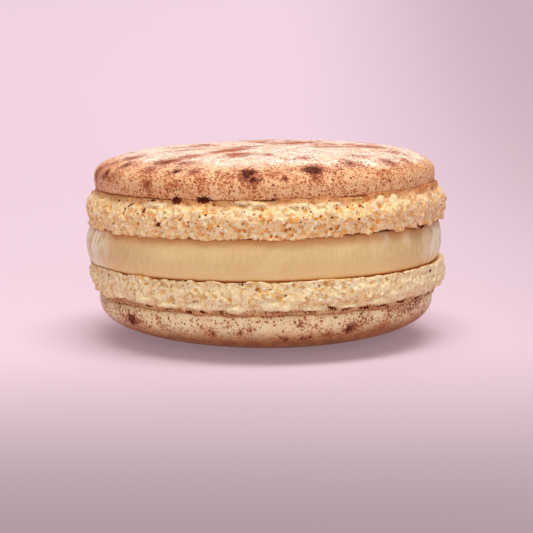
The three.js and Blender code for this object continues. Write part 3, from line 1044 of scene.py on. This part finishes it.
def cream_finish():
    """Caramel buttercream, satin, with the fine upright marks of the knife. Painted shade darkens it along
    its edges and towards its left and right; it is smeared paler in patches, and a painted sheen pales its
    far left and right."""
    n = Nodes("buttercream")
    height = n.attribute("level")
    aside = n.math("ABSOLUTE", n.coordinate("X"))
    streaks = n.noise(0.3, 3.0, 0.55, n.stretched(1, 1, 0.25))
    wisps = n.noise(0.9, 3.0, 0.6, n.stretched(1, 1, 0.5))
    base = n.mix(n.ramp(n.noise(3.5), 0.3, 0.7), *CREAM_TONES)
    # Darker towards its left and right: painted shade
    base = n.mix(n.ramp(aside, 11, 18, 0, 0.7), base, CREAM_SIDE_SHADE)
    base = n.mix(n.ramp(streaks, 0.4, 0.7, 0, 0.35), base, CREAM_STREAK)
    # Darker under the upper shell: painted shade
    base = n.mix(n.ramp(height, 13.4, 14.9, 0, 0.65), base, CREAM_TOP_SHADE)
    base = n.mix(n.ramp(height, 12.2, 10.4, 0, 0.5), base, CREAM_LOW)
    # Darker where it meets the lower shell: painted shade of the groove
    base = n.mix(n.ramp(height, 10.3, 10.05, 0, 0.8), base, CREAM_LOW_SHADE)
    # Smeared paler in patches, and at its far left and right a painted sheen
    smeared = n.math("MAXIMUM", n.ramp(aside, 18, 21.2), n.ramp(n.noise(6.0, 1.0), 0.62, 0.75, 0, 0.45))
    smears_and_sheen = n.math("MULTIPLY", smeared, n.ramp(wisps, 0.36, 0.62))
    base = n.mix(n.math("MULTIPLY", smears_and_sheen, 0.9), base, CREAM_SMEAR_AND_SHEEN)
    relief = n.math("MULTIPLY_ADD", n.noise(1.2), 1.5, streaks)
    n.set(Base_Color=base, Roughness=0.5, Specular_IOR_Level=0.2, Normal=n.bump(relief, 0.05, 0.6))
    n.glow_within(0.15, 1.2, 0.7, 0.35)
    return n.material


upper_cap = cap_finish(
    "upper_cap",
    light=colour(250, 207, 157),
    dark=colour(244, 194, 142),
    # A pale crown: paler skin with a painted highlight
    crown_light=colour(255, 249, 231),
    crown_dark=colour(251, 219, 182),
    crown_range=(1.85, 2.03),
    hazing=0.8,
)
lower_cap = cap_finish(
    "lower_cap",
    light=colour(255, 244, 194),
    dark=colour(252, 235, 180),
    # The lower cap's crown is its underside: its darker tones are painted shade
    crown_light=colour(178, 125, 64),
    crown_dark=colour(148, 97, 48),
    crown_range=(1.36, 2.06),
    hazing=0.35,
)
upper_crumb = crumb_finish(
    "upper_crumb",
    pale=colour(255, 216, 154),
    tan=colour(250, 166, 70),
    neck=colour(238, 184, 120),
    aside=colour(232, 186, 144),
    toast=colour(220, 140, 70),
    toasting=0.6,
    dusting=0.45,
    specks_from=0.61,
)
lower_crumb = crumb_finish(
    "lower_crumb",
    pale=colour(246, 220, 166),
    tan=colour(236, 180, 98),
    neck=colour(212, 170, 112),
    aside=colour(246, 226, 184),
    toast=colour(206, 146, 82),
    toasting=0.3,
    dusting=0.8,
    specks_from=0.8,
)
make_shell(UPPER, UPPER_SPOTS, UPPER_FLECKS, UPPER_SCRAPS, upper_cap, upper_crumb)
make_shell(LOWER, LOWER_SPOTS, LOWER_FLECKS, LOWER_SCRAPS, lower_cap, lower_crumb)
make_filling(cream_finish())


# The studio: a pale pink sweep, a wide light overhead, and softer ones behind and in front. Metres.
SWEEP_FRONT = -1.2
SWEEP_FLAT = 0.15
SWEEP_BEND = 0.9
SWEEP_TOP = 1.9
SWEEP_HALF_WIDTH = 1.8
BEND_STEPS = 24
SURROUND_STRENGTH = 0.33
CAMERA_PLACE = (0, -0.230, 0.0419)
CAMERA_DOWN = 8.226  # degrees below the horizon
LENS = 122.93
SENSOR = 36


def add_sweep():
    """A floor that curves up into a backdrop, with painted shade near the front and to the right, and a faint
    glow of its own that lightens the shadows on it.
    """
    n = Nodes("sweep")
    base = n.mix(n.ramp(n.coordinate("Y"), -95, -5), FLOOR_NEAR_SHADE, FLOOR_UNDER)
    base = n.mix(n.ramp(n.coordinate("Y"), 0, 400), base, BACKDROP)
    base = n.mix(n.ramp(n.coordinate("X"), 0, 90, 0, 0.66), base, BACKDROP_RIGHT_SHADE)
    n.set(Base_Color=base, Roughness=1.0, Specular_IOR_Level=0.0)
    # A faint glow of its own, a painted light that thins the shadows on the sweep and lights the macaron from
    # below
    n.set(Emission_Color=base, Emission_Strength=0.3)
    line = [(SWEEP_FRONT, 0.0), (SWEEP_FLAT, 0.0)]
    for step in range(1, BEND_STEPS + 1):
        angle = math.radians(90 * step / BEND_STEPS)
        line.append((SWEEP_FLAT + SWEEP_BEND * math.sin(angle), SWEEP_BEND - SWEEP_BEND * math.cos(angle)))
    line.append((SWEEP_FLAT + SWEEP_BEND, SWEEP_TOP))
    places = [(side * SWEEP_HALF_WIDTH, y, z) for y, z in line for side in (-1, 1)]
    faces = [(2 * row, 2 * row + 1, 2 * row + 3, 2 * row + 2) for row in range(len(line) - 1)]
    sweep = new_object("sweep", places, faces)
    sweep.data.materials.append(n.material)
    sweep.data.shade_smooth()


def add_light(name, place, target, width, height, power):
    light = bpy.data.lights.new(name, "AREA")
    light.shape = "RECTANGLE"
    light.size, light.size_y = width, height
    light.energy = power
    lamp = bpy.data.objects.new(name, light)
    lamp.location = place
    lamp.rotation_euler = (Vector(target) - Vector(place)).to_track_quat("-Z", "Y").to_euler()
    lamp.visible_camera = False
    bpy.context.collection.objects.link(lamp)


def add_surround():
    """Even light from all round."""
    world = bpy.data.worlds.new("studio")
    world.use_nodes = True
    background = world.node_tree.nodes["Background"]
    background.inputs["Color"].default_value = SURROUND
    background.inputs["Strength"].default_value = SURROUND_STRENGTH
    bpy.context.scene.world = world


def add_camera():
    camera = bpy.data.objects.new("camera", bpy.data.cameras.new("camera"))
    camera.location = CAMERA_PLACE
    camera.rotation_euler = (math.radians(90 - CAMERA_DOWN), 0, 0)
    camera.data.lens = LENS
    camera.data.sensor_width = SENSOR
    camera.data.clip_start = 0.01
    bpy.context.collection.objects.link(camera)
    bpy.context.scene.camera = camera


add_sweep()
add_light("overhead", (0.05, -0.1, 0.55), (0, 0, 0.01), 0.45, 0.2, power=2.5)
add_light("behind", (0, 0.5, 0.4), (0, 0, 0.02), 0.5, 0.25, power=0.8)
add_light("front", (0.06, -0.7, 0.2), (0, 0, 0.012), 0.45, 0.3, power=1.35)
add_surround()
add_camera()
bpy.context.scene.view_settings.view_transform = "Standard"
